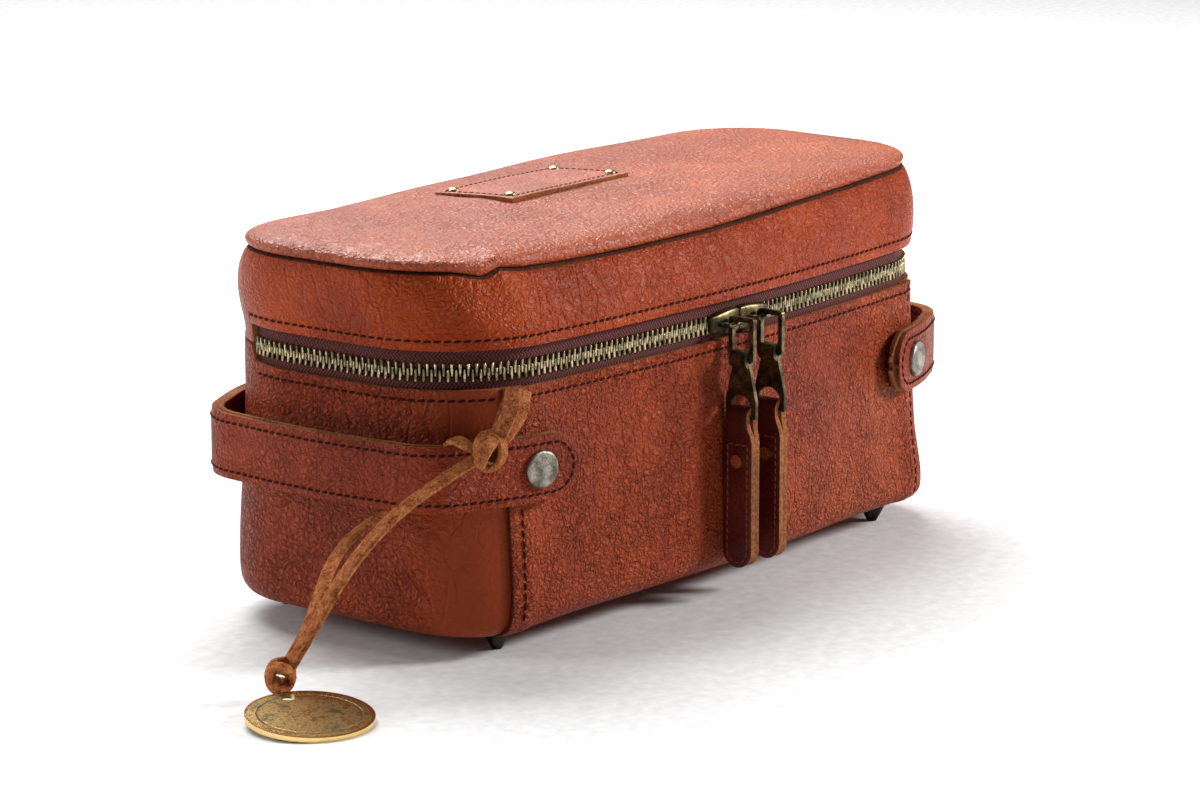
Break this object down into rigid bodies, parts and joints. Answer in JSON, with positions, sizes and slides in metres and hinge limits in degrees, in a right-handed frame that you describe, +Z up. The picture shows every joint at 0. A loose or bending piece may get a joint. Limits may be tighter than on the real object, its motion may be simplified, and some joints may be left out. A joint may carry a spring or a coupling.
{
  "type": "hanging toiletry bag",
  "caption": "Leather wash bag: box body, domed lid hinged at the back, metal zip with paired sliders and leather pulls, riveted end straps, brass tag on a lace.",
  "frame": {"origin": "middle of the footprint of the bag with its straps and pulls, on the surface that the feet stand on", "axes": "+X along the length towards the right strap, +Y to the back where the lid is hinged, +Z up"},
  "size_m": [0.3676, 0.1404, 0.1319],
  "materials": {
    "body_leather": "pebbled pull-up leather, satin",
    "lid_leather": "pebbled pull-up leather, satin",
    "strap_leather": "pebbled leather with raw tan edges",
    "pull_leather": "dark smooth leather with raw tan edges",
    "label_leather": "pebbled leather with raw tan edges",
    "lace_suede": "suede lace",
    "lining": "woven cotton twill",
    "base_board": "fibre board",
    "zip_tape": "herringbone tape",
    "zip_teeth": "antique brass, bright on the crests",
    "antique_brass": "dark antique brass, worn edges",
    "rivet_metal": "aged nickel",
    "tag_brass": "mottled antique brass",
    "feet": "dark antique brass",
    "steel": "plain"
  },
  "bodies": {
    "bag_body": {"front_panel": "body_leather", "back_panel": "body_leather", "left_end_panel": "body_leather", "right_end_panel": "body_leather", "bottom_panel": "body_leather", "base_board": "base_board", "body_lining": "lining", "feet": "feet", "foot_washers": "steel", "lower_zip_teeth": "zip_teeth", "lower_zip_tape": "zip_tape", "zip_end_stops": "zip_teeth", "lower_hinge_strip": "body_leather"},
    "lid": {"lid_band": "lid_leather", "lid_back_band": "lid_leather", "lid_top_panel": "lid_leather", "lid_lining": "lining", "label_patch": "label_leather", "label_rivets": "antique_brass", "upper_zip_teeth": "zip_teeth", "upper_zip_tape": "zip_tape", "upper_hinge_strip": "body_leather"},
    "left_slider": {"left_slider_body": "antique_brass", "left_slider_bail": "antique_brass"},
    "left_link": {"left_pull_link": "antique_brass"},
    "left_pull": {"left_pull_clip": "antique_brass", "left_pull_leather": "pull_leather", "left_pull_rivet": "antique_brass"},
    "left_handle": {"left_handle_outer_ply": "strap_leather", "left_handle_inner_ply": "strap_leather", "left_handle_rivets": "rivet_metal", "left_handle_rivet_washers": "rivet_metal", "lace_front_strand": "lace_suede", "lace_back_strand": "lace_suede", "lace_top_knot": "lace_suede", "lace_wrap": "lace_suede", "lace_tails": "lace_suede", "lace_lower_knot": "lace_suede"},
    "right_slider": {"right_slider_body": "antique_brass", "right_slider_bail": "antique_brass"},
    "right_link": {"right_pull_link": "antique_brass"},
    "right_pull": {"right_pull_clip": "antique_brass", "right_pull_leather": "pull_leather", "right_pull_rivet": "antique_brass"},
    "right_handle": {"right_handle_outer_ply": "strap_leather", "right_handle_inner_ply": "strap_leather", "right_handle_rivets": "rivet_metal", "right_handle_rivet_washers": "rivet_metal"},
    "tag_disc": {"tag_disc": "tag_brass"}
  },
  "joints": [
    {"name": "lid_hinge", "type": "hinge", "parent": "bag_body", "child": "lid", "pos_m": [0, 0.06723, 0.0914], "axis": [-1, 0, 0], "range_deg": [0, 100]},
    {"name": "left_slider_travel", "type": "hinge", "parent": "bag_body", "child": "left_slider", "pos_m": [0, 0.94513, 0.0914], "axis": [0, 0, -1], "range_deg": [0, 3.99]},
    {"name": "right_slider_travel", "type": "hinge", "parent": "bag_body", "child": "right_slider", "pos_m": [0, 0.94513, 0.0914], "axis": [0, 0, 1], "range_deg": [0, 4.05]},
    {"name": "left_link_swing", "type": "hinge", "parent": "left_slider", "child": "left_link", "pos_m": [-0.00836, -0.06199, 0.0914], "axis": [-1, 0.0083, 0], "range_deg": [0, 95]},
    {"name": "left_pull_swing", "type": "hinge", "parent": "left_link", "child": "left_pull", "pos_m": [-0.00838, -0.06419, 0.08015], "axis": [0.0083, 1, 0], "range_deg": [-3.5, 60]},
    {"name": "right_link_swing", "type": "hinge", "parent": "right_slider", "child": "right_link", "pos_m": [0.00735, -0.062, 0.0914], "axis": [-1, -0.0073, 0], "range_deg": [0, 95]},
    {"name": "right_pull_swing", "type": "hinge", "parent": "right_link", "child": "right_pull", "pos_m": [0.00737, -0.0642, 0.08015], "axis": [0.0073, -1, 0], "range_deg": [-3.5, 60]},
    {"name": "left_handle_swing", "type": "hinge", "parent": "bag_body", "child": "left_handle", "pos_m": [-0.103, 0, 0.0605], "axis": [0, 1, 0], "range_deg": [-7, 15]},
    {"name": "right_handle_swing", "type": "hinge", "parent": "bag_body", "child": "right_handle", "pos_m": [0.103, 0, 0.0605], "axis": [0, -1, 0], "range_deg": [-7, 15]},
    {"name": "disc_swing", "type": "hinge", "parent": "left_handle", "child": "tag_disc", "pos_m": [-0.19498, -0.03045, 0.00408], "axis": [-0.9205, 0.3907, 0], "range_deg": [-70, 60]}
  ]
}
